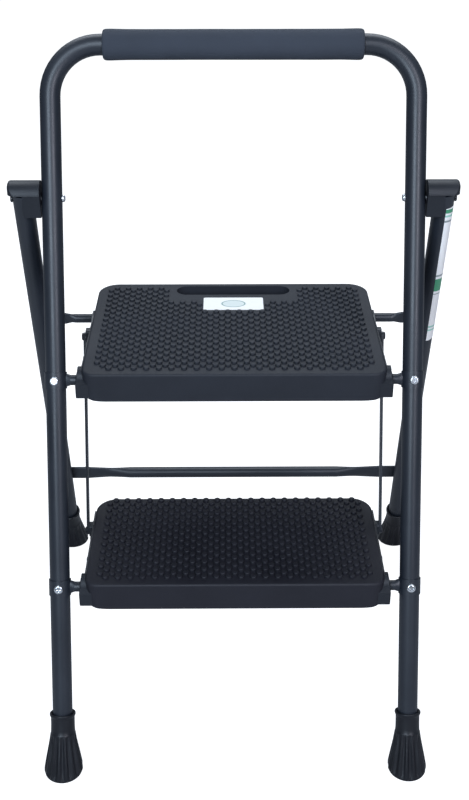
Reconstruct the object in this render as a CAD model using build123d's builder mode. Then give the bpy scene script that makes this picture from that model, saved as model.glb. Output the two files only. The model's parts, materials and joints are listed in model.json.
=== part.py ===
"""Folding two-step stool: a bent-tube front hoop, a hinged rear frame and two pivoting treads.

Frame: millimetres, +Z up, +X to the stool's left-right axis, +Y to the back. The origin lies on the
floor in the middle of the four feet.
"""
import os
from math import cos, radians, sin

from build123d import *

# ---- driving dimensions ----
TUBE_R = 12.5                 # outer radius of the rail and leg tubes
TUBE_WALL = 1.2
STANCE = 496.0                # front foot centre to rear foot centre
RAIL_X = 219.0                # half the distance between the rail centrelines
RAIL_LEAN = radians(22.7)     # rails lean back by this much
HOOP_TOP = 900.0              # along the rail, floor to the top tube's centreline
BEND_R = 60.0
LOWER_S, UPPER_S, HINGE_S = 240.0, 500.0, 720.0   # along the rail: step pivots and leg hinge
LEG_TOP_X, LEG_FOOT_X = 254.0, 262.0
TUBE_END = 14.0               # the tubes stop this far above the floor, inside the feet
FIT = 0.05                    # radial gap of pieces that are fixed to each other
RUN = 0.08                    # radial gap of a running fit

GRIP_R, GRIP_LENGTH = 18.0, 310.0
FOOT_R, FOOT_LENGTH, COLLAR_R, LIP_R = 24.5, 77.0, 14.8, 15.7

PIVOT_R, PIVOT_WALL, NECK = 6.35, 1.2, 6.0
SADDLE_H, SADDLE_WALL = 20.0, 1.2
SCREW_HEAD_R, SCREW_R = 5.5, 2.4

TREAD_HALF_W, TREAD_TOP, TREAD_FRONT = 186.0, 18.8, -21.8   # from the step's pivot axis
UPPER_DEPTH, LOWER_DEPTH = 270.5, 190.0
TREAD_SKIN, SKIRT_WALL, RIB_WALL = 3.6, 3.0, 2.4
SKIRT_BOTTOM, FRONT_BOTTOM = -12.0, -18.5
FRONT_CORNER, REAR_CORNER = 17.0, 28.0
SLOT_LENGTH, SLOT_WIDTH, SLOT_A = 156.0, 28.6, 224.7        # carry slot, its middle behind the pivot
BLOCK_IN_X, BLOCK_OUT_X, BLOCK_FRONT = 172.0, 193.5, -19.5
BLOCK_R, BLOCK_TOP, BLOCK_BOTTOM = 13.0, 17.5, -15.0

LINK_A, LINK_B = 120.0, 0.0   # link pins, straight behind each step pivot
LINK_IN_X, LINK_T, LINK_W = 194.2, 3.0, 11.0
STRAP_IN_X, STRAP_T = 186.1, 3.0
BRACKET_W, BRACKET_TOP, BRACKET_BOTTOM = 14.0, 11.0, -7.0
PIN_R = 2.5

UPPER_BAR_S, UPPER_BAR_R, UPPER_FLAT_W = 213.0, 6.0, 19.0    # down the leg from the hinge
LOWER_BAR_S, LOWER_BAR_R, LOWER_FLAT_W = 543.3, 8.2, 26.0
BAR_BACK, BAR_FLAT_T = 14.5, 3.6                            # behind the leg plane

CAP_IN_X, CAP_OUT_X, CAP_BLOCK_X, CAP_R = 232.1, 271.0, 253.0, 17.0
LEG_OVER = 10.0                # the leg tube runs this far past the hinge axis, inside its cap
# Hood axis and rim above the hinge, block below it, rounding in plan and of the top.
CAP_RISE, CAP_EDGE, CAP_DROP, CAP_CORNER, CAP_END = 5.0, 8.0, 21.0, 10.0, 3.5

# ---- derived places ----
RAIL_UP = Vector(0, sin(RAIL_LEAN), cos(RAIL_LEAN))
RAIL_FRONT = Vector(0, -cos(RAIL_LEAN), sin(RAIL_LEAN))


def rail_point(s, x=0.0):
    """Point on a rail's centreline, s along it from the floor."""
    return Vector(x, -STANCE / 2, 0) + RAIL_UP * s


HINGE = rail_point(HINGE_S)
UPPER = rail_point(UPPER_S)
LOWER = rail_point(LOWER_S)
LEG_DOWN = (Vector(0, STANCE / 2, 0) - HINGE).normalized()
LEG_BACK = Vector(0, -LEG_DOWN.Z, LEG_DOWN.Y)
LEG_LENGTH = (Vector(0, STANCE / 2, 0) - HINGE).length
RAIL_PLANE = Plane(origin=rail_point(0), x_dir=(1, 0, 0), z_dir=RAIL_FRONT)
SIDES = (("left", -1), ("right", 1))
PARTS = {}


def side_plane(x, pivot=Vector(0, 0, 0)):
    """Plane across the stool at x: its own axes are +Y and +Z, its origin on the pivot."""
    return Plane(origin=(x, pivot.Y, pivot.Z), x_dir=(0, 1, 0), z_dir=(1, 0, 0))


def leg_plane(s, back=0.0):
    """Plane lying in the rear frame, s below the hinge: +X across, its normal to the back."""
    place = HINGE + LEG_DOWN * s + LEG_BACK * back
    return Plane(origin=place, x_dir=(1, 0, 0), z_dir=LEG_BACK)


def leg_axis(side):
    """Hinge end and foot end of a rear leg's centreline."""
    return HINGE + Vector(side * LEG_TOP_X, 0, 0), Vector(side * LEG_FOOT_X, STANCE / 2, 0)


def keep(node, name):
    """Label a finished sub-part and put it on the list to be written."""
    node.part.label = name
    PARTS[name] = node.part


def rod(start, end, radius, mode=Mode.ADD):
    """A round bar from start to end in the builder that is open."""
    run = end - start
    with BuildSketch(Plane(origin=start, z_dir=run)) as section:
        Circle(radius)
    extrude(section.sketch, amount=run.length, mode=mode)


def dome_head(base, out, radius, height):
    """A low domed rivet or screw head whose flat side lies at base and points out."""
    with BuildSketch(Plane(origin=base, z_dir=out)) as flat:
        Circle(radius)
    extrude(flat.sketch, amount=height)
    rim = edges(Select.LAST).filter_by(GeomType.CIRCLE).group_by(lambda e: (e.center() - base).dot(out))
    fillet(rim[-1], height * 0.75)


# ---- front frame ----
def make_front_hoop():
    with BuildPart() as hoop:
        with BuildLine(RAIL_PLANE) as path:
            FilletPolyline((-RAIL_X, TUBE_END), (-RAIL_X, HOOP_TOP), (RAIL_X, HOOP_TOP),
                           (RAIL_X, TUBE_END), radius=BEND_R)
        with BuildSketch(Plane(origin=path.line @ 0, z_dir=path.line % 0)):
            Circle(TUBE_R)
            Circle(TUBE_R - TUBE_WALL, mode=Mode.SUBTRACT)
        sweep(path=path.line)
        for _, side in SIDES:
            inner = HINGE + Vector(side * (RAIL_X - 20), 0, 0)
            rod(inner, inner + Vector(side * 40, 0, 0), 3 + FIT, Mode.SUBTRACT)
            for s in (LOWER_S, UPPER_S):
                front = rail_point(s, side * RAIL_X) + RAIL_FRONT * 20
                rod(front, front - RAIL_FRONT * 40, SCREW_R + FIT, Mode.SUBTRACT)
    keep(hoop, "front_hoop")


def make_foam_grip():
    with BuildPart() as grip:
        with BuildSketch(side_plane(0, rail_point(HOOP_TOP))):
            Circle(GRIP_R)
            Circle(TUBE_R + FIT, mode=Mode.SUBTRACT)
        extrude(amount=GRIP_LENGTH / 2, both=True)
        fillet(grip.edges().filter_by(GeomType.CIRCLE).filter_by(lambda e: e.radius > TUBE_R + 1), 2)
    keep(grip, "foam_grip")


def make_foot(name, floor_point, up):
    """Rubber ferrule: a collar round the tube, flaring to a flat round sole."""
    shoulder = 50.0
    with BuildPart() as foot:
        with BuildSketch(Plane(origin=floor_point + up * shoulder, z_dir=up)):
            Circle(COLLAR_R + 0.6)
        with BuildSketch(Plane(origin=(floor_point.X, floor_point.Y, 5), z_dir=(0, 0, 1))):
            Circle(FOOT_R)
        loft()
        with BuildSketch(Plane(origin=(floor_point.X, floor_point.Y, 0), z_dir=(0, 0, 1))):
            Circle(FOOT_R)
        extrude(amount=5)
        rod(floor_point + up * shoulder, floor_point + up * FOOT_LENGTH, COLLAR_R)
        rod(floor_point + up * (FOOT_LENGTH - 4), floor_point + up * FOOT_LENGTH, LIP_R)
        rod(floor_point + up * TUBE_END, floor_point + up * (FOOT_LENGTH + 5), TUBE_R + FIT, Mode.SUBTRACT)
    keep(foot, name)


def make_pivot_tube(name, s):
    """Cross tube that a step turns on, its ends flattened into saddles round the rails."""
    pivot = rail_point(s)
    flare_x, neck_x = RAIL_X - TUBE_R - 0.7, RAIL_X - TUBE_R - NECK
    saddle_in, saddle_out = TUBE_R + FIT, TUBE_R + FIT + SADDLE_WALL
    with BuildPart() as tube:
        with BuildSketch(side_plane(-neck_x, pivot)):
            Circle(PIVOT_R)
        extrude(amount=2 * neck_x)
        for _, side in SIDES:
            across = Plane(origin=(side * neck_x, pivot.Y, pivot.Z), x_dir=RAIL_UP, z_dir=(side, 0, 0))
            with BuildSketch(across):
                Circle(PIVOT_R)
            with BuildSketch(across.offset(flare_x - neck_x + 3)):
                RectangleRounded(SADDLE_H - 2, 8.0, 2.5)
            loft()
            rail = Plane(origin=rail_point(s - SADDLE_H / 2, side * RAIL_X), x_dir=(side, 0, 0),
                         z_dir=RAIL_UP)
            with BuildSketch(rail):
                Circle(saddle_out)
                with Locations((saddle_out * 1.5, 0), (0, saddle_out)):
                    Rectangle(saddle_out, 4 * saddle_out, mode=Mode.SUBTRACT)
                Circle(saddle_out)
            extrude(amount=SADDLE_H)
        for _, side in SIDES:
            low, high = rail_point(s - 40, side * RAIL_X), rail_point(s + 40, side * RAIL_X)
            rod(low, high, saddle_in, Mode.SUBTRACT)
            # The saddle stays open at the back of the rail.
            back = Plane(origin=rail_point(s, side * RAIL_X) - RAIL_FRONT * 15, x_dir=(1, 0, 0),
                         z_dir=RAIL_FRONT)
            with BuildSketch(back):
                Rectangle(40, 30)
            extrude(amount=11, mode=Mode.SUBTRACT)
            front = rail_point(s, side * RAIL_X) + RAIL_FRONT * 20
            rod(front, front - RAIL_FRONT * 20, SCREW_R + FIT, Mode.SUBTRACT)
        with BuildSketch(side_plane(-neck_x, pivot)):
            Circle(PIVOT_R - PIVOT_WALL)
        extrude(amount=2 * neck_x, mode=Mode.SUBTRACT)
    keep(tube, name)


def make_saddle_screws():
    """Pan-head machine screws that clamp the four saddles to the rails."""
    with BuildPart() as screws:
        for s in (LOWER_S, UPPER_S):
            for _, side in SIDES:
                centre = rail_point(s, side * RAIL_X)
                seat = centre + RAIL_FRONT * (TUBE_R + FIT + SADDLE_WALL)
                rod(centre - RAIL_FRONT * (TUBE_R + 4.4), seat, SCREW_R)
                dome_head(seat, RAIL_FRONT, SCREW_HEAD_R, 2.8)
                for turn in (0, 90):
                    cross = Plane(origin=seat + RAIL_FRONT * 1.4, x_dir=(1, 0, 0), z_dir=RAIL_FRONT)
                    with BuildSketch(cross):
                        Rectangle(6.0, 1.5, rotation=turn)
                    extrude(amount=3, mode=Mode.SUBTRACT)
    keep(screws, "saddle_screws")


def make_saddle_nuts():
    with BuildPart() as nuts:
        for s in (LOWER_S, UPPER_S):
            for _, side in SIDES:
                centre = rail_point(s, side * RAIL_X)
                seat = Plane(origin=centre - RAIL_FRONT * (TUBE_R + 0.05), x_dir=(1, 0, 0),
                             z_dir=RAIL_FRONT * -1)
                with BuildSketch(seat):
                    RegularPolygon(4.4, 6)
                    Circle(SCREW_R + FIT, mode=Mode.SUBTRACT)
                extrude(amount=4)
    keep(nuts, "saddle_nuts")


def make_hinge_rivets():
    """The two rivets that the rear legs swing on."""
    with BuildPart() as rivets:
        for _, side in SIDES:
            inner = HINGE + Vector(side * (RAIL_X - TUBE_R - 0.1), 0, 0)
            outer = HINGE + Vector(side * (LEG_TOP_X + TUBE_R + 0.4), 0, 0)
            out = Vector(side, 0, 0)
            rod(inner, outer, 3)
            dome_head(inner, out * -1, 4.6, 3.4)
            dome_head(outer, out, 4.6, 2.2)
    keep(rivets, "hinge_rivets")


def make_hinge_washers():
    with BuildPart() as washers:
        for _, side in SIDES:
            with BuildSketch(side_plane(side * (RAIL_X + TUBE_R + 0.1), HINGE)):
                Circle(7.5)
                Circle(3 + FIT, mode=Mode.SUBTRACT)
            extrude(amount=side * 1.2)
    keep(washers, "hinge_washers")


# ---- rear frame ----
def make_rear_leg(name, side):
    top, floor_point = leg_axis(side)
    down = (floor_point - top).normalized()
    with BuildPart() as leg:
        start, end = top - down * LEG_OVER, floor_point - down * TUBE_END
        rod(start, end, TUBE_R)
        rod(start, end, TUBE_R - TUBE_WALL, Mode.SUBTRACT)
        hole = HINGE + Vector(side * (LEG_TOP_X - 20), 0, 0)
        rod(hole, hole + Vector(side * 40, 0, 0), 3 + RUN, Mode.SUBTRACT)
        for s in (UPPER_BAR_S, LOWER_BAR_S):
            centre = top + down * s
            rod(centre, centre + LEG_BACK * 20, 2.5 + FIT, Mode.SUBTRACT)
    keep(leg, name)


def make_hinge_cap(name, side):
    """Moulded hood over a leg's top end, with a block down its inner side."""
    top, floor_point = leg_axis(side)
    down = (floor_point - top).normalized()
    with BuildPart() as cap:
        # The hood: the upper part of a cylinder lying across, its outer corners rounded in plan.
        with BuildSketch(side_plane(side * CAP_IN_X, HINGE)):
            with Locations((0, CAP_RISE)):
                Circle(CAP_R)
            with Locations((0, CAP_EDGE - CAP_R)):
                Rectangle(3 * CAP_R, 2 * CAP_R, mode=Mode.SUBTRACT)
        extrude(amount=side * (CAP_OUT_X - CAP_IN_X))
        with BuildSketch(Plane(origin=(side * CAP_IN_X, HINGE.Y, HINGE.Z), z_dir=(0, 0, 1))):
            RectangleRounded(2 * (CAP_OUT_X - CAP_IN_X), 2 * CAP_R, CAP_CORNER)
        extrude(amount=60, mode=Mode.INTERSECT)
        end = cap.faces().filter_by(Axis.X).sort_by(Axis.X)[-1 if side > 0 else 0]
        fillet(end.edges().filter_by(GeomType.CIRCLE), CAP_END)
        with BuildSketch(side_plane(side * CAP_IN_X, HINGE)):
            with BuildLine():
                Polyline((-15, CAP_EDGE + 1), (15, CAP_EDGE + 1), (20, -CAP_DROP), (-11, -CAP_DROP), close=True)
            make_face()
        extrude(amount=side * (CAP_BLOCK_X - CAP_IN_X))
        rod(top - down * (LEG_OVER + 0.1), top + down * 60, TUBE_R + FIT, Mode.SUBTRACT)
        hole = HINGE + Vector(side * (CAP_IN_X - 10), 0, 0)
        rod(hole, hole + Vector(side * 24, 0, 0), 3 + RUN, Mode.SUBTRACT)
        # The washer lies in a shallow pocket of the inner face.
        rod(hole, hole + Vector(side * (10 + RAIL_X + TUBE_R + 1.6 - CAP_IN_X), 0, 0), 7.7, Mode.SUBTRACT)
    keep(cap, name)


def make_rear_bar(name, s, radius, flat_width, round_x, flat_x, end_x):
    """Cross bar: round in the middle, pressed flat at the ends and lying on the legs' backs."""
    plane = leg_plane(s, BAR_BACK)
    leg_x = LEG_TOP_X + (LEG_FOOT_X - LEG_TOP_X) * s / LEG_LENGTH
    with BuildPart() as bar:
        rod(plane.origin - Vector(round_x, 0, 0), plane.origin + Vector(round_x, 0, 0), radius)
        for _, side in SIDES:
            across = Plane(origin=plane.origin + Vector(side * round_x, 0, 0), x_dir=LEG_DOWN,
                           z_dir=(side, 0, 0))
            with BuildSketch(across):
                Circle(radius)
            with BuildSketch(across.offset(flat_x - round_x)):
                SlotOverall(flat_width, BAR_FLAT_T)
            loft()
            with BuildSketch(across.offset(flat_x - round_x)):
                SlotOverall(flat_width, BAR_FLAT_T)
            extrude(amount=end_x - flat_x)
            hole = plane.origin + Vector(side * leg_x, 0, 0) - LEG_BACK * 10
            rod(hole, hole + LEG_BACK * 20, 2.5 + FIT, Mode.SUBTRACT)
    keep(bar, name)


def make_bar_rivets():
    with BuildPart() as rivets:
        for s in (UPPER_BAR_S, LOWER_BAR_S):
            leg_x = LEG_TOP_X + (LEG_FOOT_X - LEG_TOP_X) * s / LEG_LENGTH
            for _, side in SIDES:
                centre = HINGE + LEG_DOWN * s + Vector(side * leg_x, 0, 0)
                seat = centre + LEG_BACK * (BAR_BACK + BAR_FLAT_T / 2)
                rod(centre + LEG_BACK * 8, seat, 2.5)
                dome_head(seat, LEG_BACK, 5, 2.4)
    keep(rivets, "bar_rivets")


# ---- treads ----
def tread_outline(depth, grow=0.0):
    """Plan outline of a tread in the sketch that is open; its y runs back from the pivot axis."""
    front, rear, half = TREAD_FRONT - grow, TREAD_FRONT + depth + grow, TREAD_HALF_W + grow
    with BuildLine() as outline:
        for turn in (1, -1):
            FilletPolyline((0, front), (turn * half, front), (turn * half, rear), (0, rear),
                           radius=[FRONT_CORNER, REAR_CORNER])
    make_face(outline.line.edges())


def bar_relief(seat, gap, mode=Mode.ADD):
    """Side-view throat over the rear bar: upright behind, flaring forward as the bar swings out."""
    reach = UPPER_BAR_R + gap
    with Locations(seat):
        Circle(reach, mode=mode)
    with BuildLine() as throat:
        Polyline((seat[0] + reach, seat[1]), (seat[0] + reach, seat[1] - 50),
                 (seat[0] - 60, seat[1] - 50), (seat[0] - 27, seat[1] - 20),
                 (seat[0] - reach * 0.86, seat[1] + reach * 0.5), close=True)
    make_face(throat.line.edges(), mode=mode)


def make_tread(name, pivot, depth, slot, seat):
    top_plane = Plane(origin=(0, pivot.Y, pivot.Z + TREAD_TOP), x_dir=(1, 0, 0), z_dir=(0, 0, 1))
    rear = TREAD_FRONT + depth
    with BuildPart() as tread:
        with BuildSketch(top_plane):
            tread_outline(depth)
        extrude(amount=FRONT_BOTTOM - TREAD_TOP)
        # Underside: the front apron hangs lower than the other three sides.
        with BuildSketch(side_plane(-200, pivot)):
            with BuildLine():
                Polyline((-9, FRONT_BOTTOM - 5), (6, SKIRT_BOTTOM), (rear + 5, SKIRT_BOTTOM),
                         (rear + 5, FRONT_BOTTOM - 5), close=True)
            make_face()
        extrude(amount=400, mode=Mode.SUBTRACT)
        # The apron's lower corners sweep up towards the pivot blocks.
        with BuildSketch(Plane(origin=(0, pivot.Y, pivot.Z), x_dir=(1, 0, 0), z_dir=(0, -1, 0))):
            for _, side in SIDES:
                with BuildLine() as sweep_up:
                    Spline((side * 155, FRONT_BOTTOM - 0.01), (side * 187, SKIRT_BOTTOM), tangents=((side, 0), (side, 0.6)))
                    Polyline((side * 187, SKIRT_BOTTOM), (side * 187, FRONT_BOTTOM - 5),
                             (side * 155, FRONT_BOTTOM - 5), (side * 155, FRONT_BOTTOM - 0.01))
                make_face(sweep_up.line.edges())
        extrude(amount=60, both=True, mode=Mode.SUBTRACT)
        rim = tread.edges().filter_by(Plane.XY).group_by(Axis.Z)[-1]
        fillet(rim, 3.0)
        with BuildSketch(top_plane.offset(-TREAD_SKIN)):
            tread_outline(depth, -SKIRT_WALL)
            if slot:
                with Locations((0, SLOT_A)):
                    SlotOverall(SLOT_LENGTH + 2 * SKIRT_WALL, SLOT_WIDTH + 2 * SKIRT_WALL,
                                mode=Mode.SUBTRACT)
            x_ribs = [x * 60.0 for x in range(-2, 3)]
            with Locations(*[(x, depth / 2) for x in x_ribs + [-165.0, 165.0]]):
                Rectangle(RIB_WALL, depth * 1.2, mode=Mode.SUBTRACT)
            count = round(depth / 55)
            with Locations(*[(0, TREAD_FRONT + depth * i / count) for i in range(1, count)]):
                Rectangle(2 * TREAD_HALF_W, RIB_WALL, mode=Mode.SUBTRACT)
        extrude(amount=-60, mode=Mode.SUBTRACT)
        if slot:
            with BuildSketch(top_plane.offset(1)):
                with Locations((0, SLOT_A)):
                    SlotOverall(SLOT_LENGTH, SLOT_WIDTH)
            extrude(amount=-60, mode=Mode.SUBTRACT)
        with BuildSketch(side_plane(-200, pivot)):
            Circle(PIVOT_R + RUN)
        extrude(amount=400, mode=Mode.SUBTRACT)
        if seat:
            with BuildSketch(side_plane(-200, pivot)):
                bar_relief(seat, 1.2)
            extrude(amount=400, mode=Mode.SUBTRACT)
        for a in STRAP_RIVETS:
            with BuildSketch(side_plane(-200, pivot)):
                with Locations((a, 2)):
                    Circle(2 + FIT)
            extrude(amount=400, mode=Mode.SUBTRACT)
    keep(tread, name)


def make_pivot_block(name, pivot, depth, side):
    """Bearing block on a tread's end that turns on the cross tube."""
    with BuildPart() as block:
        ear_top = BLOCK_TOP - BLOCK_R
        with BuildSketch(side_plane(side * BLOCK_IN_X, pivot)):
            with BuildLine():
                Polyline((BLOCK_R, ear_top), (BLOCK_R, BLOCK_BOTTOM), (-BLOCK_R, BLOCK_BOTTOM), (-BLOCK_R, ear_top))
                CenterArc((0, ear_top), BLOCK_R, 0, 180)
            make_face()
        extrude(amount=side * (BLOCK_OUT_X - 2 - BLOCK_IN_X))
        with BuildSketch(side_plane(side * BLOCK_IN_X, pivot)):
            with BuildLine():
                Polyline((BLOCK_R, BLOCK_BOTTOM), (BLOCK_R, 3), (7, 9.5), (-8, 9.5), (BLOCK_FRONT, 3),
                         (BLOCK_FRONT, BLOCK_BOTTOM), close=True)
            make_face()
        extrude(amount=side * (BLOCK_OUT_X - BLOCK_IN_X))
        outer = block.faces().filter_by(Axis.X).sort_by(Axis.X)[-1 if side > 0 else 0]
        fillet(outer.edges(), 1.4)
        with BuildSketch(Plane(origin=(0, pivot.Y, pivot.Z - 30), x_dir=(1, 0, 0), z_dir=(0, 0, 1))):
            tread_outline(depth, FIT)
        extrude(amount=60, mode=Mode.SUBTRACT)
        with BuildSketch(side_plane(side * 170, pivot)):
            Circle(PIVOT_R + RUN)
        extrude(amount=side * 40, mode=Mode.SUBTRACT)
    keep(block, name)


def make_strap(name, pivot, side, length, seat):
    """Flat steel strap along a tread's side; the upper ones end in a hook over the rear bar."""
    with BuildPart() as strap:
        with BuildSketch(side_plane(side * STRAP_IN_X, pivot)):
            with BuildLine():
                if seat:
                    Polyline((15, -6), (15, 10), (140, 10), (156, 13.8), (171, 13.8), (174.5, 10),
                             (174.5, -2), (130, -7), close=True)
                else:
                    Polyline((15, -6), (15, 10), (length, 10), (length, -6), close=True)
            make_face()
            with Locations((LINK_A, (BRACKET_TOP + BRACKET_BOTTOM) / 2)):
                RectangleRounded(BRACKET_W, BRACKET_TOP - BRACKET_BOTTOM, 4)
            if seat:
                bar_relief(seat, 0.5, Mode.SUBTRACT)
            with Locations((LINK_A, LINK_B)):
                Circle(PIN_R + FIT, mode=Mode.SUBTRACT)
            with Locations(*[(a, 2) for a in STRAP_RIVETS]):
                Circle(2 + FIT, mode=Mode.SUBTRACT)
        extrude(amount=side * STRAP_T)
        # The pressed bracket stands out from the strap to carry the link clear of the block.
        with BuildSketch(side_plane(side * (STRAP_IN_X + STRAP_T), pivot)):
            with Locations((LINK_A, (BRACKET_TOP + BRACKET_BOTTOM) / 2)):
                RectangleRounded(BRACKET_W, BRACKET_TOP - BRACKET_BOTTOM, 4)
            with Locations((LINK_A, LINK_B)):
                Circle(PIN_R + FIT, mode=Mode.SUBTRACT)
        extrude(amount=side * (LINK_IN_X - 0.3 - STRAP_IN_X - STRAP_T))
    keep(strap, name)


def make_strap_rivets(name, pivot):
    with BuildPart() as rivets:
        for a in STRAP_RIVETS:
            for _, side in SIDES:
                outer = Vector(side * (STRAP_IN_X + STRAP_T + 0.05), pivot.Y + a, pivot.Z + 2)
                inner = Vector(side * (TREAD_HALF_W - SKIRT_WALL), outer.Y, outer.Z)
                out = Vector(side, 0, 0)
                rod(inner - out * 0.2, outer, 2)
                dome_head(outer, out, 4, 1.6)
                dome_head(inner - out * 0.1, out * -1, 3.4, 1.2)
    keep(rivets, name)


def make_link_pins(name, pivot):
    """Headed pins that carry the links beside a step."""
    with BuildPart() as pins:
        for _, side in SIDES:
            out = Vector(side, 0, 0)
            centre = pivot + Vector(0, LINK_A, LINK_B)
            link_out = centre + out * (LINK_IN_X + LINK_T + 0.3)
            rod(centre + out * (STRAP_IN_X + 0.2), link_out, PIN_R)
            dome_head(link_out, out, 5, 2)
    keep(pins, name)


def make_link(name, side):
    """Flat bar that turns the lower step with the upper one."""
    top, bottom = UPPER + Vector(0, LINK_A, LINK_B), LOWER + Vector(0, LINK_A, LINK_B)
    middle = (top + bottom) * 0.5
    plane = Plane(origin=middle + Vector(side * LINK_IN_X, 0, 0), x_dir=RAIL_UP, z_dir=(1, 0, 0))
    span = UPPER_S - LOWER_S
    with BuildPart() as link:
        with BuildSketch(plane):
            SlotCenterToCenter(span, LINK_W)
            with Locations((span / 2, 0)):
                Circle(PIN_R + RUN, mode=Mode.SUBTRACT)
            with Locations((-span / 2, 0)):
                Circle(PIN_R + 0.4, mode=Mode.SUBTRACT)
        extrude(amount=side * LINK_T)
    keep(link, name)


# The rear bar's seat in the upper tread's hooks, behind and above the upper pivot.
seat_point = HINGE + LEG_DOWN * UPPER_BAR_S + LEG_BACK * BAR_BACK - UPPER
BAR_SEAT = (seat_point.Y, seat_point.Z)
STRAP_RIVETS = (52.0, 98.0, 132.0)


def make_step(step, pivot, depth, seat):
    make_tread(step + "_tread", pivot, depth, slot=bool(seat), seat=seat)
    for word, side in SIDES:
        make_pivot_block(step + "_pivot_block_" + word, pivot, depth, side)
        make_strap(step + "_side_strap_" + word, pivot, side, LINK_A + 30, seat)
    make_strap_rivets(step + "_strap_rivets", pivot)
    make_link_pins(step + "_link_pins", pivot)


make_front_hoop()
make_foam_grip()
make_pivot_tube("upper_pivot_tube", UPPER_S)
make_pivot_tube("lower_pivot_tube", LOWER_S)
make_saddle_screws()
make_saddle_nuts()
make_hinge_rivets()
make_hinge_washers()
for word, side in SIDES:
    make_foot("front_foot_" + word, rail_point(0, side * RAIL_X), RAIL_UP)
    hinge_end, floor_end = leg_axis(side)
    make_foot("rear_foot_" + word, floor_end, (hinge_end - floor_end).normalized())
    make_rear_leg("rear_leg_" + word, side)
    make_hinge_cap("hinge_cap_" + word, side)
    make_link("link_" + word, side)
make_rear_bar("upper_rear_bar", UPPER_BAR_S, UPPER_BAR_R, UPPER_FLAT_W, 212, 226, 267)
make_rear_bar("lower_rear_bar", LOWER_BAR_S, LOWER_BAR_R, LOWER_FLAT_W, 160, 226, 271)
make_bar_rivets()
make_step("upper", UPPER, UPPER_DEPTH, BAR_SEAT)
make_step("lower", LOWER, LOWER_DEPTH, None)

os.makedirs("parts", exist_ok=True)
for name, piece in PARTS.items():
    export_step(piece, f"parts/{name}.step")
print(len(PARTS), "nodes written")
print("hinge", HINGE, "upper pivot", UPPER, "lower pivot", LOWER, "bar seat", BAR_SEAT)
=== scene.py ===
# %% [markdown]
# # A folding two-step stool
#
# The stool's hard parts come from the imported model: the bent hoop, the legs, the treads and their
# hinges. This script adds what a drawing leaves out: the raised studs, the foam grip, the ribbed
# rubber feet, the two labels and the finish of every surface. All lengths are in metres.

# %% Load the fixed frame
import json
from math import degrees, hypot, pi, radians

import bpy
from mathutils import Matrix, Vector


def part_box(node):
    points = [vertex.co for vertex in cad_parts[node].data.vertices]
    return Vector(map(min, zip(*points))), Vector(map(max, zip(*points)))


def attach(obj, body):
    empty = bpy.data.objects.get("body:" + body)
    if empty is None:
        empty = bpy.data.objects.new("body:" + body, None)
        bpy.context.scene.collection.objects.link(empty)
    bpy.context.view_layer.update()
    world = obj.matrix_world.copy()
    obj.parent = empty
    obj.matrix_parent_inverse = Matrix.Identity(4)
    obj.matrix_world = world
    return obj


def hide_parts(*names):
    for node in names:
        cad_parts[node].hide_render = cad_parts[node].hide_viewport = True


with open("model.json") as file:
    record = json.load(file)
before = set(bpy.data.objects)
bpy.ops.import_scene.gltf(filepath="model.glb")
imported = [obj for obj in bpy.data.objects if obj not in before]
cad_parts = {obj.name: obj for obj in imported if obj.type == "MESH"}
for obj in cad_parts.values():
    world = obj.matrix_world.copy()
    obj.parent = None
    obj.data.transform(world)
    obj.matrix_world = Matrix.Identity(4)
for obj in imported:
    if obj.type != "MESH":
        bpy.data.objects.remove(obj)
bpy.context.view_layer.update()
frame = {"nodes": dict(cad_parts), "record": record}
nodes = frame["nodes"]

# %% [markdown]
# Every edit-mode operator acts on whatever is selected, and loading leaves the nodes selected. These
# helpers clear that, choose faces, edges or points by a test on their place, and bake a finished
# piece's place into its mesh.

# %% Small helpers for modelling by hand
MM = 0.001


def clear():
    if bpy.context.object and bpy.context.object.mode != "OBJECT":
        bpy.ops.object.mode_set(mode="OBJECT")
    bpy.ops.object.select_all(action="DESELECT")


def choose(piece, kind, test):
    """Leaves the piece in edit mode with only the matching vertices, edges or polygons selected."""
    bpy.ops.object.mode_set(mode="OBJECT")
    for items in (piece.data.vertices, piece.data.edges, piece.data.polygons):
        items.foreach_set("select", [False] * len(items))
    for item in getattr(piece.data, kind):
        item.select = bool(test(item))
    bpy.ops.object.mode_set(mode="EDIT")
    words = {"vertices": "VERT", "edges": "EDGE", "polygons": "FACE"}
    bpy.ops.mesh.select_mode(type=words[kind])


def bake_place(piece):
    clear()
    piece.select_set(True)
    bpy.context.view_layer.objects.active = piece
    bpy.ops.object.transform_apply(location=True, rotation=True, scale=True)


def smooth(piece, angle=40):
    clear()
    piece.select_set(True)
    bpy.context.view_layer.objects.active = piece
    bpy.ops.object.shade_smooth_by_angle(angle=radians(angle))


def outward(piece):
    """Merges doubles and turns every face outwards."""
    clear()
    bpy.context.view_layer.objects.active = piece
    piece.select_set(True)
    bpy.ops.object.mode_set(mode="EDIT")
    bpy.ops.mesh.select_all(action="SELECT")
    bpy.ops.mesh.remove_doubles(threshold=1e-6)
    bpy.ops.mesh.normals_make_consistent(inside=False)
    bpy.ops.object.mode_set(mode="OBJECT")


def apply_modifiers(piece):
    clear()
    piece.select_set(True)
    bpy.context.view_layer.objects.active = piece
    for name in [m.name for m in piece.modifiers]:
        bpy.ops.object.modifier_apply(modifier=name)


print("modelling helpers ready")

# %% [markdown]
# The frame gives the places that the new pieces hang on: the two step axes, the leg hinge and the
# floor. The rails lean back, the legs lean forward, and both angles follow from those places.

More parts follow.
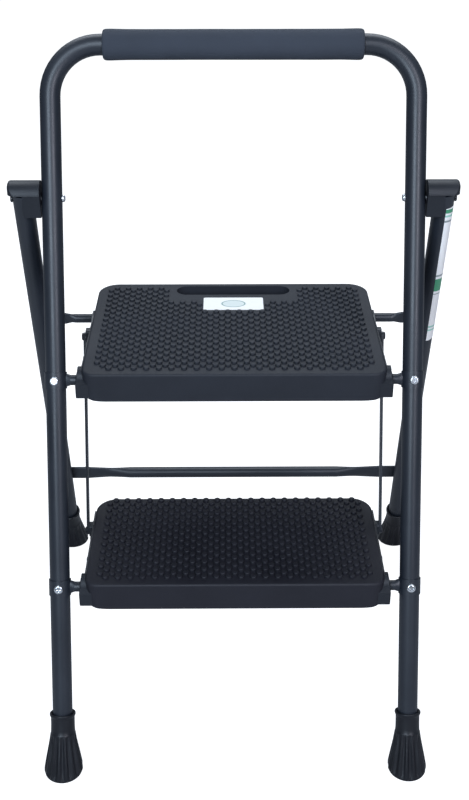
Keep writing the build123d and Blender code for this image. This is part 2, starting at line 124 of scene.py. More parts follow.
# %% Places taken from the frame
joints = {j["name"]: j for j in frame["record"]["behaviour"]["joints"]}
upper_axis = Vector(joints["upper_step_fold"]["pos_m"])
lower_axis = Vector(joints["lower_step_fold"]["pos_m"])
hinge_axis = Vector(joints["rear_fold"]["pos_m"])
mounts = {m["name"]: Vector(m["pos_m"]) for m in frame["record"]["mounts"]}
_, upper_high = (Vector(c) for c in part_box("upper_tread"))
_, lower_high = (Vector(c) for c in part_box("lower_tread"))
front_sole, rear_sole = mounts["front_sole_right"], mounts["rear_sole_right"]
rail_run = Vector((0, hinge_axis.y - front_sole.y, hinge_axis.z))
rail_lean = rail_run.angle(Vector((0, 0, 1)))
LEG_TOP_X = 254 * MM    # from the middle of the stool to the top of each leg
leg_run = {}
for side in (-1, 1):
    leg_top = Vector((side * LEG_TOP_X, hinge_axis.y, hinge_axis.z))
    leg_run[side] = leg_top - Vector((side * rear_sole.x, rear_sole.y, 0))
leg_lean = -Vector((0, leg_run[1].y, leg_run[1].z)).angle(Vector((0, 0, 1)))
print("rail lean", round(degrees(rail_lean), 2), "leg lean", round(degrees(leg_lean), 2))

# %% [markdown]
# A camera far enough away to keep the uprights nearly parallel, a little above the hoop, looking
# down at the treads. It is made first, so that each piece can be judged in the same view.

# %% The camera
SENSOR_MM, LENS_MM = 36, 52.88
LOOKS_DOWN, LOOKS_ASIDE = 29.44, -0.41    # degrees
camera_data = bpy.data.cameras.new("camera")
camera_data.sensor_width = SENSOR_MM
camera_data.lens = LENS_MM
camera_data.clip_end = 50
camera = bpy.data.objects.new("camera", camera_data)
camera.location = (-0.0089, -1.3241, 1.1486)
camera.rotation_euler = (radians(90 - LOOKS_DOWN), 0, radians(LOOKS_ASIDE))
bpy.context.collection.objects.link(camera)
bpy.context.scene.camera = camera
print("camera at", tuple(round(v, 3) for v in camera.location))

# %% [markdown]
# A round piece such as a foot or a grip is a stack of rings. One circle is added, then extruded again
# and again, and each new ring is moved, scaled and tilted to its place. `grow_rings` does that with
# the same operators that a hand would press.

# %% A stack of rings
def grow_rings(name, rings, points, axis="Z"):
    """rings are (centre, radius, tilt about X). The first and last are closed with a face."""
    clear()
    turn = (0, pi / 2, 0) if axis == "X" else (0, 0, 0)
    first = rings[0]
    bpy.ops.mesh.primitive_circle_add(vertices=points, radius=first[1], fill_type="NGON",
                                      location=(0, 0, 0), rotation=turn)
    piece = bpy.context.object
    piece.name = name
    bake_place(piece)
    bpy.ops.object.mode_set(mode="EDIT")
    bpy.ops.mesh.select_all(action="SELECT")
    bpy.ops.transform.rotate(value=first[2], orient_axis="X", center_override=(0, 0, 0))
    bpy.ops.transform.translate(value=first[0])
    for before, after in zip(rings, rings[1:]):
        step = Vector(after[0]) - Vector(before[0])
        bpy.ops.mesh.extrude_region_move(TRANSFORM_OT_translate={"value": step})
        grow = after[1] / before[1]
        bpy.ops.transform.resize(value=(grow, grow, grow), center_override=after[0])
        if after[2] != before[2]:
            # With no window this operator turns the other way, so a lean to the back is positive.
            bpy.ops.transform.rotate(value=after[2] - before[2], orient_axis="X", center_override=after[0])
    bpy.ops.object.mode_set(mode="OBJECT")
    outward(piece)
    return piece


print("ring stacks ready")

# %% [markdown]
# The hand grip is a sleeve of closed-cell foam pushed over the hoop's top tube. Foam is cut, not
# moulded, so its ends are soft and a little swollen and its side is never quite straight. It is built
# as one stack of rings with a slight swell at the ends, then loosened by a gentle displacement.

# %% Foam grip
GRIP_POINTS, GRIP_STATIONS = 48, 12
GRIP_DRAWN_RADIUS = 18      # mm, what the radii of the end's profile are drawn for
GRIP_WAIST = 0.985          # the middle is a little thinner than the ends
GRIP_END = [(0.0, 12.6), (0.0, 15.2), (0.5, 16.6), (1.8, 17.7), (4.0, 18.1), (8.0, 18.2), (14, 18.0),
            (24, 17.85)]    # mm from the end, and radius
grip_low, grip_high = (Vector(c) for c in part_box("foam_grip"))
grip_middle = (grip_low + grip_high) / 2
grip_radius = (grip_high.z - grip_low.z) / 2
grip_half = (grip_high.x - grip_low.x) / 2
ends = [(-grip_half + x * MM, r / GRIP_DRAWN_RADIUS * grip_radius) for x, r in GRIP_END]
middle = [(-grip_half + grip_half * 2 * i / GRIP_STATIONS, grip_radius * GRIP_WAIST)
          for i in range(1, GRIP_STATIONS)]
stations = ends + middle + [(-x, r) for x, r in reversed(ends)]
rings = [((x, grip_middle.y, grip_middle.z), r, 0) for x, r in stations]
grip = grow_rings("grip_foam_sleeve", rings, GRIP_POINTS, axis="X")
soft = grip.modifiers.new("subdivide", "SUBSURF")
soft.levels = soft.render_levels = 1
cloud = bpy.data.textures.new("foam_unevenness", "CLOUDS")
cloud.noise_scale = 0.045
push = grip.modifiers.new("uneven", "DISPLACE")
push.texture = cloud
push.texture_coords = "GLOBAL"
push.strength = 0.6 * MM
push.mid_level = 0.5
apply_modifiers(grip)
smooth(grip, 60)
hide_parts("foam_grip")
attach(grip, "front_frame")
print("grip", len(grip.data.polygons), "faces")

# %% [markdown]
# Each foot is a rubber boot: a plain collar with a rolled lip grips the tube, and below it a fluted
# skirt flares to a flat round sole. The sole lies level on the floor while the collar follows the
# leaning tube, so the rings turn step by step from one to the other. The flutes come last: every
# second pair of points in the skirt is pulled in towards the axis.

# %% Rubber feet
FLUTES = 15
FOOT_POINTS = FLUTES * 4
FLUTE_DEPTH = 2.6 * MM
FLUTE_EDGE, FLUTE_EDGE_ANGLE = 0.3 * MM, radians(24)
LEVEL_RINGS = [(0.0, 22.0), (0.8, 23.6), (2.6, 24.4), (6.0, 24.3)]      # height and radius, in mm
SKIRT_RINGS = [(14, 22.9, 0.25), (22, 21.3, 0.5), (31, 19.4, 0.75), (40, 17.6, 0.9),
               (48, 16.3, 1.0), (50, 16.0, 1.0)]                        # up the tube, radius, share of lean
COLLAR_RINGS = [(51.2, 15.4), (56, 15.1), (66, 15.0), (71.5, 15.1), (73, 15.9), (74.6, 16.4),
                (76.2, 16.3), (76.9, 15.4), (76.4, 14.2), (74, 12.7)]
FLUTE_FADE = [0, 0, 0.35, 0.9, 1, 1, 0.95, 0.7, 0.2]                    # share of the depth, ring by ring


def make_foot(name, node, sole, run, lean, body):
    up = run.normalized()
    rings = []
    for height, radius in LEVEL_RINGS:
        rings.append(((sole.x, sole.y + up.y / up.z * height * MM, height * MM), radius * MM, 0))
    for s, radius, share in SKIRT_RINGS:
        rings.append((tuple(sole + up * s * MM), radius * MM, lean * share))
    for s, radius in COLLAR_RINGS:
        rings.append((tuple(sole + up * s * MM), radius * MM, lean))
    foot = grow_rings(name, rings, FOOT_POINTS)
    for number, share in enumerate(FLUTE_FADE):
        if share == 0:
            continue
        centre, radius, _ = rings[number]
        first = number * FOOT_POINTS
        groove = {first + i for i in range(FOOT_POINTS) if i % 4 in (2, 3)}
        choose(foot, "vertices", lambda v: v.index in groove)
        shrink = 1 - FLUTE_DEPTH * share / radius
        bpy.ops.transform.resize(value=(shrink, shrink, shrink), center_override=centre)
    bpy.ops.object.mode_set(mode="OBJECT")
    edge = foot.modifiers.new("round", "BEVEL")
    edge.width = FLUTE_EDGE
    edge.segments = 2
    edge.limit_method = "ANGLE"
    edge.angle_limit = FLUTE_EDGE_ANGLE
    apply_modifiers(foot)
    smooth(foot, 50)
    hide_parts(node)
    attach(foot, body)
    return foot


feet = []
for word, side in (("left", -1), ("right", 1)):
    sole = Vector((side * front_sole.x, front_sole.y, 0))
    feet.append(make_foot("foot_boot_front_" + word, "front_foot_" + word, sole, rail_run, rail_lean,
                          "front_frame"))
    sole = Vector((side * rear_sole.x, rear_sole.y, 0))
    feet.append(make_foot("foot_boot_rear_" + word, "rear_foot_" + word, sole, leg_run[side], leg_lean,
                          "rear_frame"))
print("feet", [len(f.data.polygons) for f in feet], "faces")

# %% [markdown]
# The treads are studded for grip. A stud is a low round button with a softened rim. It could be a
# bump in the material, but studs stand out at the tread's edge, so each is real. There are more than
# a thousand of them, so one has only twelve sides: a cylinder without its floor, its top rim bevelled.

# %% One stud
STUD_RADIUS, STUD_HEIGHT = 3.8 * MM, 2.8 * MM
STUD_SIDES, STUD_ROUNDING = 12, 0.8 * MM
STUD_FLARE, STUD_LIFT = 1.05, 0.85      # how much its foot widens, and how much of its height shows


def one_stud(name, place):
    clear()
    bpy.ops.mesh.primitive_cylinder_add(vertices=STUD_SIDES, radius=STUD_RADIUS, depth=STUD_HEIGHT * 2,
                                        end_fill_type="TRIFAN", location=place)
    stud = bpy.context.object
    stud.name = name
    bake_place(stud)
    choose(stud, "polygons", lambda f: f.center.z < place[2] - STUD_HEIGHT * 0.5)
    bpy.ops.mesh.delete(type="FACE")
    points = stud.data.vertices

    def on_top_rim(edge):
        ends = [points[i].co for i in edge.vertices]
        return all(p.z > place[2] and hypot(p.x - place[0], p.y - place[1]) > STUD_RADIUS / 2 for p in ends)

    choose(stud, "edges", on_top_rim)
    bpy.ops.mesh.bevel(offset=STUD_ROUNDING, segments=2, affect="EDGES")
    choose(stud, "vertices", lambda v: v.co.z < place[2])
    bpy.ops.transform.resize(value=(STUD_FLARE, STUD_FLARE, 1.0), center_override=place)
    bpy.ops.transform.translate(value=(0, 0, STUD_HEIGHT * STUD_LIFT))
    bpy.ops.object.mode_set(mode="OBJECT")
    return stud


print("stud", round(STUD_RADIUS * 2 / MM, 1), "mm across")

# %% [markdown]
# The studs stand in staggered rows. Two Array modifiers repeat one stud over half of the grid, and a
# second set fills the gaps. Studs that would fall off a rounded corner, on the carry slot or under the
# label are then selected by place and deleted.

# %% A field of studs
HALF_PITCH = 7.65 * MM
COLUMNS = 23        # in an even row; an odd row has one fewer


def stud_field(name, axis, top, first_row, rows, first_odd, keep, body):
    """One tread's studs. keep(x, a) says whether a stud centred there stays."""
    halves = []
    for row in (0, 1):
        odd = (row == 0) == first_odd
        columns = COLUMNS - 1 if odd else COLUMNS
        start = (-(columns - 1) * HALF_PITCH, axis.y + first_row + row * HALF_PITCH, top)
        stud = one_stud(f"{name}_{row}", start)
        across = (columns, (2 * HALF_PITCH, 0, 0))
        back = ((rows - row + 1) // 2, (0, 2 * HALF_PITCH, 0))
        for count, step in (across, back):
            repeat = stud.modifiers.new("repeat", "ARRAY")
            repeat.use_relative_offset = False
            repeat.use_constant_offset = True
            repeat.constant_offset_displace = step
            repeat.count = count
        apply_modifiers(stud)
        halves.append(stud)
    clear()
    for half in halves:
        half.select_set(True)
    bpy.context.view_layer.objects.active = halves[0]
    bpy.ops.object.join()
    field = halves[0]
    field.name = name

    def unwanted(face):
        a = face.center.y - axis.y
        row = round((a - first_row) / HALF_PITCH)
        shift = 1 if (row % 2 == 0) == first_odd else 0
        column = 2 * round((face.center.x / HALF_PITCH - shift) / 2) + shift
        return not keep(column * HALF_PITCH, first_row + row * HALF_PITCH, row, column)

    choose(field, "polygons", unwanted)
    bpy.ops.mesh.delete(type="FACE")
    bpy.ops.object.mode_set(mode="OBJECT")
    smooth(field, 50)
    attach(field, body)
    return field


print("studs stand", round(HALF_PITCH * 2 / MM, 1), "mm apart")

# %% [markdown]
# Bare plastic is left inside the rounded rear corners, round the carry slot and round the label. Each
# rule looks at a stud's place on the tread: x across it, and a back from the step's axis.

# %% Where the studs stop
TREAD_CORNER = 28 * MM
UPPER_MARGIN, LOWER_MARGIN = 11 * MM, 6 * MM    # bare plastic at the rear corners
LABEL_A, LABEL_HALF_X, LABEL_HALF_A = 180.5 * MM, 40.4 * MM, 19.6 * MM
LABEL_GAP_X, LABEL_GAP_A = 5 * MM, 4 * MM
FRONT_ROW_REACH = 20                            # columns either side of the middle
BARE_ROWS = ((28, 91), (27, 87), (26, 79))      # from this row back, bare for so many mm each side


def inside_corners(x, a, rear_a, margin, corner):
    """True where a point lies inside the tread's rear corners, margin in from its edge."""
    half = upper_high.x
    over_x, over_a = abs(x) - (half - corner), a - (rear_a - corner)
    if over_x <= 0 or over_a <= 0:
        return True
    return hypot(over_x, over_a) < corner - margin


upper_rear = upper_high.y - upper_axis.y
lower_rear = lower_high.y - lower_axis.y


def keep_upper(x, a, row, column):
    """The carry slot and the label have bare plastic round them."""
    for first, half in BARE_ROWS:
        if row >= first:
            if abs(x) < half * MM:
                return False
            break
    if abs(x) < LABEL_HALF_X + LABEL_GAP_X and abs(a - LABEL_A) < LABEL_HALF_A + LABEL_GAP_A:
        return False
    if row == 0 and abs(column) > FRONT_ROW_REACH:
        return False
    return inside_corners(x, a, upper_rear, UPPER_MARGIN, TREAD_CORNER)


def keep_lower(x, a, row, column):
    return inside_corners(x, a, lower_rear, LOWER_MARGIN, TREAD_CORNER)


print("treads reach back", round(upper_rear / MM, 1), "and", round(lower_rear / MM, 1), "mm")

# %% Stud both treads
FIRST_ROW = -6.8 * MM       # in front of the step's axis
UPPER_ROWS, LOWER_ROWS = 32, 23
upper_studs = stud_field("upper_tread_studs", upper_axis, upper_high.z, FIRST_ROW, UPPER_ROWS, False,
                         keep_upper, "upper_step")
lower_studs = stud_field("lower_tread_studs", lower_axis, lower_high.z, FIRST_ROW, LOWER_ROWS, True,
                         keep_lower, "lower_step")
print("studs", len(upper_studs.data.polygons), len(lower_studs.data.polygons), "faces")

# %% [markdown]
# Two labels are stuck on, and their marks are plain shapes with no words. The first is a card on the
# upper tread. A label is thin film, so this one is a plane with its four corners bevelled round and a
# fraction of a millimetre of thickness from Solidify.

# %% Tread label
LABEL_ROUNDING, LABEL_LIFT, LABEL_FILM = 2.5 * MM, 0.25 * MM, 0.2 * MM
clear()
bpy.ops.mesh.primitive_plane_add(size=2, location=(0, 0, 0))
tread_label = bpy.context.object
tread_label.name = "tread_label"
tread_label.scale = (LABEL_HALF_X, LABEL_HALF_A, 1)
tread_label.location = (0, upper_axis.y + LABEL_A, upper_high.z + LABEL_LIFT)
bake_place(tread_label)
bpy.ops.object.mode_set(mode="EDIT")
bpy.ops.mesh.select_all(action="SELECT")
bpy.ops.mesh.bevel(offset=LABEL_ROUNDING, segments=4, affect="VERTICES")
bpy.ops.object.mode_set(mode="OBJECT")
film = tread_label.modifiers.new("film", "SOLIDIFY")
film.thickness = LABEL_FILM
apply_modifiers(tread_label)
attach(tread_label, "upper_step")
print("tread label", len(tread_label.data.polygons), "faces")

# %% [markdown]
# The second label is a long strip round the outside of the right rear leg. It is cut from an open
# cylinder a shade wider than the tube: the faces that look away from the outside are deleted, and what
# is left is leaned along the leg.

# %% Leg label
LEG_LABEL_FROM, LEG_LABEL_TO = 8 * MM, 231 * MM      # down the leg from the hinge
LEG_LABEL_RADIUS, LEG_LABEL_FILM = 12.62 * MM, 0.15 * MM
LEG_LABEL_FACING = Vector((1, -0.12))                # outwards and a little to the front
LEG_LABEL_WRAP = radians(72)                         # how far it reaches round to either side
leg_middle = (LEG_LABEL_FROM + LEG_LABEL_TO) / 2
down = -leg_run[1].normalized()
label_centre = Vector((LEG_TOP_X, hinge_axis.y, hinge_axis.z)) + down * leg_middle
clear()
bpy.ops.mesh.primitive_cylinder_add(vertices=64, radius=LEG_LABEL_RADIUS, location=(0, 0, 0),
                                    depth=LEG_LABEL_TO - LEG_LABEL_FROM, end_fill_type="NOTHING")
leg_label = bpy.context.object
leg_label.name = "leg_label"
choose(leg_label, "polygons", lambda f: Vector(f.center.xy).angle(LEG_LABEL_FACING) > LEG_LABEL_WRAP)
bpy.ops.mesh.delete(type="FACE")
bpy.ops.object.mode_set(mode="OBJECT")
leg_label.rotation_mode = "QUATERNION"
leg_label.rotation_quaternion = (-down).to_track_quat("Z", "Y")
leg_label.location = label_centre
bake_place(leg_label)
film = leg_label.modifiers.new("film", "SOLIDIFY")
film.thickness = LEG_LABEL_FILM
film.offset = 1
apply_modifiers(leg_label)
smooth(leg_label, 40)
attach(leg_label, "rear_frame")
print("leg label", len(leg_label.data.polygons), "faces")

# %% [markdown]
# Finishes share two effects. `fine_grain` gives a height for a bump: the orange peel of powder coat,
# the spark-eroded texture of moulded plastic or the cells of foam, by its scale. `uneven_colour`
# drifts between two tones, as paint and plastic do.

# %% A new shader group
def make_group(name, inputs, outputs):
    group = bpy.data.node_groups.new(name, "ShaderNodeTree")
    for label, kind, value in inputs:
        socket = group.interface.new_socket(name=label, in_out="INPUT", socket_type=kind)
        socket.default_value = value
    for label, kind in outputs:
        group.interface.new_socket(name=label, in_out="OUTPUT", socket_type=kind)
    return group, group.nodes.new("NodeGroupInput"), group.nodes.new("NodeGroupOutput")


# %% Fine grain
def fine_grain_group():
    inputs = [("Scale", "NodeSocketFloat", 900.0), ("Detail", "NodeSocketFloat", 2.0)]
    group, start, end = make_group("fine_grain", inputs, [("Height", "NodeSocketFloat")])
    place = group.nodes.new("ShaderNodeTexCoord")
    noise = group.nodes.new("ShaderNodeTexNoise")
    group.links.new(place.outputs["Object"], noise.inputs["Vector"])
    group.links.new(start.outputs["Scale"], noise.inputs["Scale"])
    group.links.new(start.outputs["Detail"], noise.inputs["Detail"])
    group.links.new(noise.outputs["Fac"], end.inputs["Height"])
    return group


grain_group = fine_grain_group()
print("grain takes", [item.name for item in grain_group.interface.items_tree if item.in_out == "INPUT"])


# %% Uneven colour
def uneven_colour_group():
    inputs = [("Colour", "NodeSocketColor", (0.1, 0.1, 0.1, 1)),
              ("Second", "NodeSocketColor", (0.12, 0.12, 0.12, 1)), ("Scale", "NodeSocketFloat", 14.0),
              ("Rough low", "NodeSocketFloat", 0.3), ("Rough high", "NodeSocketFloat", 0.4)]
    outputs = [("Colour", "NodeSocketColor"), ("Roughness", "NodeSocketFloat")]
    group, start, end = make_group("uneven_colour", inputs, outputs)
    place = group.nodes.new("ShaderNodeTexCoord")
    noise = group.nodes.new("ShaderNodeTexNoise")
    noise.inputs["Detail"].default_value = 5
    spread = group.nodes.new("ShaderNodeMapRange")
    spread.inputs["From Min"].default_value = 0.32
    spread.inputs["From Max"].default_value = 0.68
    tone = group.nodes.new("ShaderNodeMix")
    tone.data_type = "RGBA"
    rough = group.nodes.new("ShaderNodeMapRange")
    link = group.links.new
    link(place.outputs["Object"], noise.inputs["Vector"])
    link(start.outputs["Scale"], noise.inputs["Scale"])
    link(noise.outputs["Fac"], spread.inputs["Value"])
    link(spread.outputs["Result"], tone.inputs["Factor"])
    link(start.outputs["Colour"], tone.inputs["A"])
    link(start.outputs["Second"], tone.inputs["B"])
    link(tone.outputs["Result"], end.inputs["Colour"])
    link(spread.outputs["Result"], rough.inputs["Value"])
    link(start.outputs["Rough low"], rough.inputs["To Min"])
    link(start.outputs["Rough high"], rough.inputs["To Max"])
    link(rough.outputs["Result"], end.inputs["Roughness"])
    return group


colour_group = uneven_colour_group()
print("colour takes", [item.name for item in colour_group.interface.items_tree if item.in_out == "INPUT"])

# %% [markdown]
# A finish is one Principled material fed by both groups. The constants go straight on its sockets, and
# only colour, roughness and the bump's height change over the surface.

# %% How a finish is mixed
BUMP_DISTANCE = 0.0004


def finish(name, colour, second, rough, drift=14.0, grain=900.0, depth=0.2, metallic=0.0, specular=0.5):
    """A material whose colour and gloss drift a little over a fine surface grain."""
    material = bpy.data.materials.new(name)
    material.use_nodes = True
    tree = material.node_tree
    shader = tree.nodes["Principled BSDF"]
    shader.inputs["Metallic"].default_value = metallic
    shader.inputs["Specular IOR Level"].default_value = specular
    tones = tree.nodes.new("ShaderNodeGroup")
    tones.node_tree = colour_group
    tones.inputs["Colour"].default_value = (*colour, 1)
    tones.inputs["Second"].default_value = (*second, 1)
    tones.inputs["Scale"].default_value = drift
    tones.inputs["Rough low"].default_value = rough[0]
    tones.inputs["Rough high"].default_value = rough[1]
    fine = tree.nodes.new("ShaderNodeGroup")
    fine.node_tree = grain_group
    fine.inputs["Scale"].default_value = grain
    bump = tree.nodes.new("ShaderNodeBump")
    bump.inputs["Strength"].default_value = depth
    bump.inputs["Distance"].default_value = BUMP_DISTANCE
    tree.links.new(tones.outputs["Colour"], shader.inputs["Base Color"])
    tree.links.new(tones.outputs["Roughness"], shader.inputs["Roughness"])
    tree.links.new(fine.outputs["Height"], bump.inputs["Height"])
    tree.links.new(bump.outputs["Normal"], shader.inputs["Normal"])
    return material


print("bump", round(BUMP_DISTANCE / MM, 1), "mm deep at full strength")

# %% [markdown]
# The tubes wear a dark slate powder coat, satin with a faint orange peel. The treads, blocks and caps
# are moulded plastic with a spark-eroded grain. The lower tread's copy is darker: painted shade, as it
# lies under the upper tread. Foam is the dullest, rubber is black with a slight shine, and the screws and
# rivets are bright zinc.

# %% Finishes
slate_coat = finish("slate_powder_coat", (0.0115, 0.0150, 0.0215), (0.0150, 0.0190, 0.0270), (0.36, 0.44),
                    grain=1400, depth=0.10, specular=0.55)
upper_plastic = finish("upper_tread_plastic", (0.0130, 0.0150, 0.0205), (0.0165, 0.0190, 0.0260),
                       (0.50, 0.62), grain=2200, depth=0.35, specular=0.35)
# A darker copy of the tread plastic: painted shade for the lower tread, which lies under the upper one.
lower_plastic_painted_shade = finish("lower_tread_plastic", (0.0110, 0.0110, 0.0160), (0.0140, 0.0140, 0.0200),
                       (0.46, 0.60), grain=2200, depth=0.35, specular=0.35)
cap_plastic = finish("moulded_plastic", (0.0100, 0.0120, 0.0165), (0.0125, 0.0150, 0.0205), (0.42, 0.55),
                     grain=2600, depth=0.3, specular=0.4)
foam = finish("closed_cell_foam", (0.036, 0.043, 0.056), (0.045, 0.053, 0.069), (0.80, 0.92), grain=1700,
              depth=0.6, specular=0.3)
rubber = finish("black_rubber", (0.0045, 0.0050, 0.0075), (0.0070, 0.0080, 0.0115), (0.34, 0.46), grain=1500,
                depth=0.15, specular=0.4)
zinc = finish("bright_zinc", (0.80, 0.82, 0.84), (0.62, 0.64, 0.67), (0.18, 0.28), drift=160, grain=3000,
              depth=0.1, metallic=0.9)
dark_steel = finish("blackened_steel", (0.010, 0.011, 0.015), (0.018, 0.019, 0.024), (0.35, 0.5), drift=120,
                    grain=2500, depth=0.15, metallic=0.3)
paints = {"frame_paint": slate_coat, "upper_tread_plastic": upper_plastic,
          "lower_tread_plastic": lower_plastic_painted_shade, "cap_plastic": cap_plastic, "foam": foam,
          "foot_rubber": rubber, "zinc": zinc, "dark_steel": dark_steel}
for entry in frame["record"]["subparts"]:
    node = nodes[entry["node"]]
    node.data.materials.clear()
    node.data.materials.append(paints[entry["material_slot"]])
print(len(paints), "finishes")

# %% [markdown]
# The hinge rivets were set before the frame was sprayed, so their outer heads are dark and their inner
# ends stay bright. A switch on the distance from the middle turns one zinc material into both.

# %% Rivets painted on the outside
PAINTED_BEYOND_X = 260 * MM
OVERSPRAY = (0.012, 0.014, 0.019, 1)
BARE_METALLIC, PAINTED_METALLIC = 0.9, 0.0


def half_painted_zinc(inside_x):
    """Zinc, but dark outside inside_x on either side, where the heads were painted over."""
    material = zinc.copy()
    material.name = "zinc_painted_outside"
    tree = material.node_tree
    shader = tree.nodes["Principled BSDF"]
    place = tree.nodes.new("ShaderNodeTexCoord")
    parts = tree.nodes.new("ShaderNodeSeparateXYZ")
    reach = tree.nodes.new("ShaderNodeMath")
    reach.operation = "ABSOLUTE"
    outside = tree.nodes.new("ShaderNodeMath")
    outside.operation = "GREATER_THAN"
    outside.inputs[1].default_value = inside_x
    tree.links.new(place.outputs["Object"], parts.inputs["Vector"])
    tree.links.new(parts.outputs["X"], reach.inputs[0])
    tree.links.new(reach.outputs["Value"], outside.inputs[0])
    bare = shader.inputs["Base Color"].links[0].from_socket
    tone = tree.nodes.new("ShaderNodeMix")
    tone.data_type = "RGBA"
    tone.inputs["B"].default_value = OVERSPRAY
    tree.links.new(outside.outputs["Value"], tone.inputs["Factor"])
    tree.links.new(bare, tone.inputs["A"])
    tree.links.new(tone.outputs["Result"], shader.inputs["Base Color"])
    metal = tree.nodes.new("ShaderNodeMapRange")
    metal.inputs["To Min"].default_value = BARE_METALLIC
    metal.inputs["To Max"].default_value = PAINTED_METALLIC
    tree.links.new(outside.outputs["Value"], metal.inputs["Value"])
    tree.links.new(metal.outputs["Result"], shader.inputs["Metallic"])
    return material


hinge_zinc = half_painted_zinc(PAINTED_BEYOND_X)
print("rivets painted beyond", round(PAINTED_BEYOND_X / MM), "mm")

# %% [markdown]
# The nodes took their finishes from the record's slots. The two hinge pieces that differ and the new
# pieces get theirs one by one. The hinge washers are made dark: painted shade of the gap between the cap and
# the rail where they sit.

# %% Finishes for the hinge and the new pieces
# The washers get the dark steel as painted shade of the gap they sit in.
for piece, material in ((nodes["hinge_rivets"], hinge_zinc), (nodes["hinge_washers"], dark_steel),
                        (grip, foam), (upper_studs, upper_plastic), (lower_studs, lower_plastic_painted_shade)):
    piece.data.materials.clear()
    piece.data.materials.append(material)
for foot in feet:
    foot.data.materials.append(rubber)
print(len(feet), "boots in rubber")

# %% [markdown]
# The labels are printed film. A print could be an image, but plain shapes are easier to work out from
# the place on the piece: a Mapping node puts zero at the label's middle, `band` gives a mask between
# two values, and `ink` lays one colour over another where the mask is 1.

# %% Helpers for a printed pattern
LABEL_WHITE = (0.95, 0.93, 0.90)


def label_base(name):
    material = bpy.data.materials.new(name)
    material.use_nodes = True
    tree = material.node_tree
    tree.nodes["Principled BSDF"].inputs["Roughness"].default_value = 0.35
    place = tree.nodes.new("ShaderNodeTexCoord")
    centre = tree.nodes.new("ShaderNodeMapping")
    tree.links.new(place.outputs["Object"], centre.inputs["Vector"])
    return material, tree, centre


def band(tree, value, low, high, soft):
    """1 between low and high, 0 outside."""
    up = tree.nodes.new("ShaderNodeMapRange")
    down = tree.nodes.new("ShaderNodeMapRange")
    for node, a, b in ((up, low - soft, low + soft), (down, high + soft, high - soft)):
        node.inputs["From Min"].default_value = a
        node.inputs["From Max"].default_value = b
        tree.links.new(value, node.inputs["Value"])
    both = tree.nodes.new("ShaderNodeMath")
    both.operation = "MULTIPLY"
    tree.links.new(up.outputs["Result"], both.inputs[0])
    tree.links.new(down.outputs["Result"], both.inputs[1])
    return both.outputs["Value"]


def ink(tree, mask, under, over):
    tone = tree.nodes.new("ShaderNodeMix")
    tone.data_type = "RGBA"
    tree.links.new(mask, tone.inputs["Factor"])
    if isinstance(under, tuple):
        tone.inputs["A"].default_value = (*under, 1)
    else:
        tree.links.new(under, tone.inputs["A"])
    tone.inputs["B"].default_value = (*over, 1)
    return tone.outputs["Result"]


print("ink helpers ready")

# %% [markdown]
# The card on the tread carries a plain pale oval with a thin green ring near its edge. Scaling x and y
# by the oval's half widths turns it into a circle, so one length gives both masks.

# %% Ink on the tread label
OVAL_HALF_X, OVAL_HALF_A = 17 * MM, 11.5 * MM
OVAL_FILL, OVAL_RING = (0.72, 0.78, 0.74), (0.20, 0.33, 0.29)
RING_INNER, RING_OUTER = 0.86, 0.95     # shares of the oval's half width


def tread_label_ink():
    material, tree, centre = label_base("tread_label_film")
    middle = Vector((0, upper_axis.y + LABEL_A, upper_high.z))
    size = (1 / OVAL_HALF_X, 1 / OVAL_HALF_A, 0)
    centre.inputs["Scale"].default_value = size
    centre.inputs["Location"].default_value = [-m * s for m, s in zip(middle, size)]
    length = tree.nodes.new("ShaderNodeVectorMath")
    length.operation = "LENGTH"
    tree.links.new(centre.outputs["Vector"], length.inputs[0])
    field = band(tree, length.outputs["Value"], -1, 1.0, 0.04)
    ring = band(tree, length.outputs["Value"], RING_INNER, RING_OUTER, 0.03)
    colour = ink(tree, field, LABEL_WHITE, OVAL_FILL)
    colour = ink(tree, ring, colour, OVAL_RING)
    tree.links.new(colour, tree.nodes["Principled BSDF"].inputs["Base Color"])
    return material


tread_label.data.materials.append(tread_label_ink())
print("tread label printed")

# %% [markdown]
# The strip on the leg is white with green and grey bands across it. A band is set by its distance down
# the leg, which the leg's lean turns into a height.

# %% Ink on the leg label
GREEN, PALE_GREEN, GREY = (0.055, 0.30, 0.15), (0.36, 0.66, 0.53), (0.30, 0.34, 0.33)
LEG_LABEL_BANDS = [     # from and to, in mm down the leg from the hinge
    (13, 19, GREEN), (22, 25, PALE_GREEN), (30, 33, GREY), (118, 121, GREY), (125, 146, GREEN),
    (150, 151.5, GREY), (208, 211, PALE_GREEN), (214, 217, PALE_GREEN)]


def leg_label_ink():
    material, tree, centre = label_base("leg_label_film")
    centre.inputs["Location"].default_value = (0, 0, -label_centre.z)
    parts = tree.nodes.new("ShaderNodeSeparateXYZ")
    tree.links.new(centre.outputs["Vector"], parts.inputs["Vector"])
    colour = LABEL_WHITE
    for start, end, tone in LEG_LABEL_BANDS:
        high, low = ((leg_middle - s * MM) * -down.z for s in (start, end))
        colour = ink(tree, band(tree, parts.outputs["Z"], low, high, 0.3 * MM), colour, tone)
    tree.links.new(colour, tree.nodes["Principled BSDF"].inputs["Base Color"])
    return material


leg_label.data.materials.append(leg_label_ink())
print(len(LEG_LABEL_BANDS), "bands printed")

# %% [markdown]
# The light is a white studio. The floor is mid grey to the light, so it doesn't throw too much back up
# under the treads, and it glows only for the camera, which sees it as plain white.

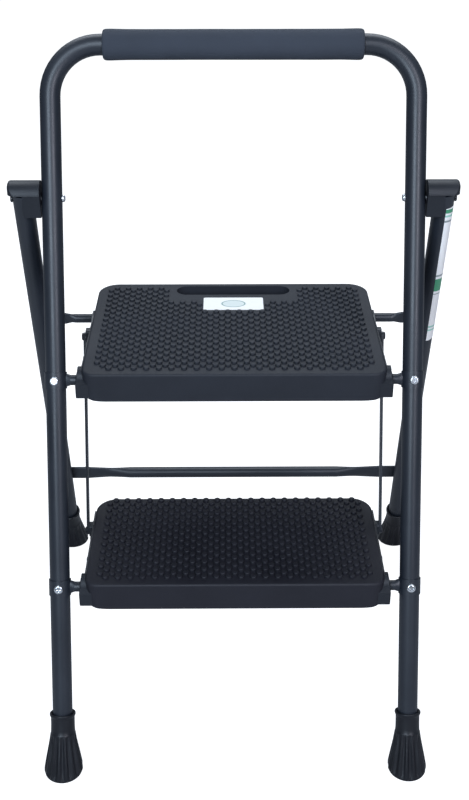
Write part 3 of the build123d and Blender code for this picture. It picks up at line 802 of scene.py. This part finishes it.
# %% Floor
FLOOR_GREY, FLOOR_GLOW = (0.45, 0.45, 0.46, 1), 0.9
clear()
bpy.ops.mesh.primitive_plane_add(size=14, location=(0, 0, 0))
floor = bpy.context.object
floor.name = "studio_floor"
floor_finish = bpy.data.materials.new("pale_floor")
floor_finish.use_nodes = True
floor_tree = floor_finish.node_tree
floor_shader = floor_tree.nodes["Principled BSDF"]
floor_shader.inputs["Base Color"].default_value = FLOOR_GREY
floor_shader.inputs["Roughness"].default_value = 0.9
floor_shader.inputs["Specular IOR Level"].default_value = 0.0
floor_shader.inputs["Emission Color"].default_value = (1, 1, 1, 1)
seen = floor_tree.nodes.new("ShaderNodeLightPath")
glow = floor_tree.nodes.new("ShaderNodeMath")
glow.operation = "MULTIPLY"
glow.inputs[1].default_value = FLOOR_GLOW
floor_tree.links.new(seen.outputs["Is Camera Ray"], glow.inputs[0])
floor_tree.links.new(glow.outputs["Value"], floor_shader.inputs["Emission Strength"])
floor.data.materials.append(floor_finish)
print("floor laid")


# %% [markdown]
# Two tall soft boxes draw the long streaks down each tube, and a broad panel above and behind skims the
# studs. An area light makes a streak as wide as itself, which a small lamp can't. All are a little cool.

# %% Soft boxes
def soft_box(name, place, aim, width, height, power, tint):
    light = bpy.data.lights.new(name, "AREA")
    light.shape = "RECTANGLE"
    light.size, light.size_y = width, height
    light.energy = power
    light.color = tint
    lamp = bpy.data.objects.new(name, light)
    lamp.location = place
    lamp.rotation_euler = (Vector(aim) - Vector(place)).to_track_quat("-Z", "Y").to_euler()
    bpy.context.collection.objects.link(lamp)


soft_box("left_box", (-0.75, -2.1, 1.7), (0, 0, 0.7), 0.80, 1.5, 46, (0.70, 0.84, 1.0))
soft_box("right_box", (1.15, -1.85, 1.7), (0, 0, 0.7), 0.40, 1.5, 29, (0.84, 0.86, 1.0))
soft_box("overhead", (0, 1.3, 2.2), (0, 0, 0.4), 2.6, 1.4, 34, (0.84, 0.91, 1.0))
print("three soft boxes")

# %% [markdown]
# The sky is brightest overhead and falls away towards the floor, so tops read lighter than fronts. The
# camera alone sees it as plain white. The Standard view keeps that white and the dark paint as they are.

# %% Sky
SKY_FROM, SKY_TO = -0.1, 0.9            # the heights between which it brightens
SKY_DARK, SKY_BRIGHT = 0.07, 0.42
SKY_TINT = (0.78, 0.88, 1.0, 1)
world = bpy.data.worlds.new("white_studio")
world.use_nodes = True
sky = world.node_tree
place = sky.nodes.new("ShaderNodeTexCoord")
parts = sky.nodes.new("ShaderNodeSeparateXYZ")
height = sky.nodes.new("ShaderNodeMapRange")
height.inputs["From Min"].default_value = SKY_FROM
height.inputs["From Max"].default_value = SKY_TO
height.inputs["To Min"].default_value = SKY_DARK
height.inputs["To Max"].default_value = SKY_BRIGHT
path = sky.nodes.new("ShaderNodeLightPath")
brightness = sky.nodes.new("ShaderNodeMix")
sky.links.new(place.outputs["Generated"], parts.inputs["Vector"])
sky.links.new(parts.outputs["Z"], height.inputs["Value"])
sky.links.new(path.outputs["Is Camera Ray"], brightness.inputs["Factor"])
sky.links.new(height.outputs["Result"], brightness.inputs["A"])
brightness.inputs["B"].default_value = 1.0
cool = sky.nodes.new("ShaderNodeMix")
cool.data_type = "RGBA"
cool.inputs["A"].default_value = SKY_TINT
cool.inputs["B"].default_value = (1, 1, 1, 1)
sky.links.new(path.outputs["Is Camera Ray"], cool.inputs["Factor"])
sky.links.new(cool.outputs["Result"], sky.nodes["Background"].inputs["Color"])
sky.links.new(brightness.outputs["Result"], sky.nodes["Background"].inputs["Strength"])
bpy.context.scene.world = world
bpy.context.scene.view_settings.view_transform = "Standard"
print("studio lit")
